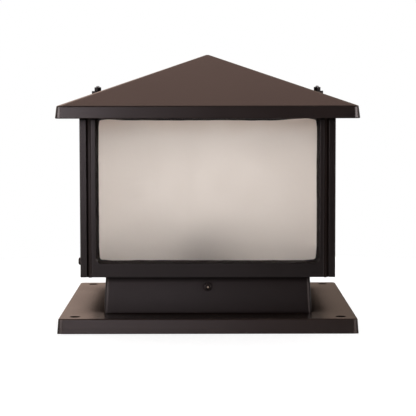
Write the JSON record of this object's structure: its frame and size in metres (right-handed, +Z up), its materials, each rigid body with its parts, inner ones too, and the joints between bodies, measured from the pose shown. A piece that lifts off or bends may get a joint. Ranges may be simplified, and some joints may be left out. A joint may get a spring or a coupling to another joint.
{
  "type": "pillar light",
  "caption": "Square pillar lantern with a pyramid roof, frosted panes and a tapered neck on a bolt-down base plate.",
  "frame": {"origin": "centre of the base plate's foot, on the surface that the light stands on", "axes": "+Z up the lantern, -Y out of the front pane, +X to the right as seen from the front"},
  "size_m": [0.303, 0.303, 0.2801],
  "materials": {
    "powder_coat": "dark bronze satin powder coat",
    "frosted_glass": "frosted, warm white",
    "seal_rubber": "matt black",
    "dark_screw": "black zinc",
    "zinc_steel": "bright zinc",
    "bakelite": "polished black moulding",
    "brass": "bare",
    "nylon": "natural white",
    "brown_pvc": "brown",
    "blue_pvc": "blue",
    "green_pvc": "green and yellow"
  },
  "bodies": {
    "lantern": {"base_plate": "powder_coat", "neck": "powder_coat", "floor_tray": "powder_coat", "post_front_left": "powder_coat", "post_front_right": "powder_coat", "post_rear_left": "powder_coat", "post_rear_right": "powder_coat", "frame_front": "powder_coat", "frame_rear": "powder_coat", "frame_left": "powder_coat", "frame_right": "powder_coat", "top_ring": "powder_coat", "corner_screws": "powder_coat", "pane_front": "frosted_glass", "pane_rear": "frosted_glass", "pane_left": "frosted_glass", "pane_right": "frosted_glass", "base_grommet": "seal_rubber", "floor_grommet": "seal_rubber", "gasket_front": "seal_rubber", "gasket_rear": "seal_rubber", "gasket_left": "seal_rubber", "gasket_right": "seal_rubber", "roof_seal": "seal_rubber", "neck_screws": "dark_screw", "base_screws": "zinc_steel", "ring_screws": "zinc_steel", "roof_studs": "zinc_steel", "stud_lock_nuts": "zinc_steel", "holder_screws": "zinc_steel", "terminal_fixing_screw": "zinc_steel", "earth_screw": "zinc_steel", "lamp_holder": "bakelite", "holder_shell": "brass", "holder_contact": "brass", "terminal_screws": "brass", "earth_terminal": "brass", "terminal_block": "nylon", "live_wire": "brown_pvc", "neutral_wire": "blue_pvc", "earth_wire": "green_pvc"},
    "roof": {"roof_shell": "powder_coat", "roof_wedge_washers": "seal_rubber"},
    "left_nut": {"roof_nut_left": "dark_screw"},
    "right_nut": {"roof_nut_right": "dark_screw"}
  },
  "joints": [
    {"name": "roof_lift", "type": "slide", "parent": "lantern", "child": "roof", "axis": [0, 0, 1], "range_m": [0, 0.06]},
    {"name": "left_nut_turn", "type": "hinge", "parent": "roof", "child": "left_nut", "pos_m": [-0.11835, 0, 0.243], "axis": [0, 0, 1], "continuous": true},
    {"name": "right_nut_turn", "type": "hinge", "parent": "roof", "child": "right_nut", "pos_m": [0.11835, 0, 0.243], "axis": [0, 0, 1], "continuous": true}
  ]
}
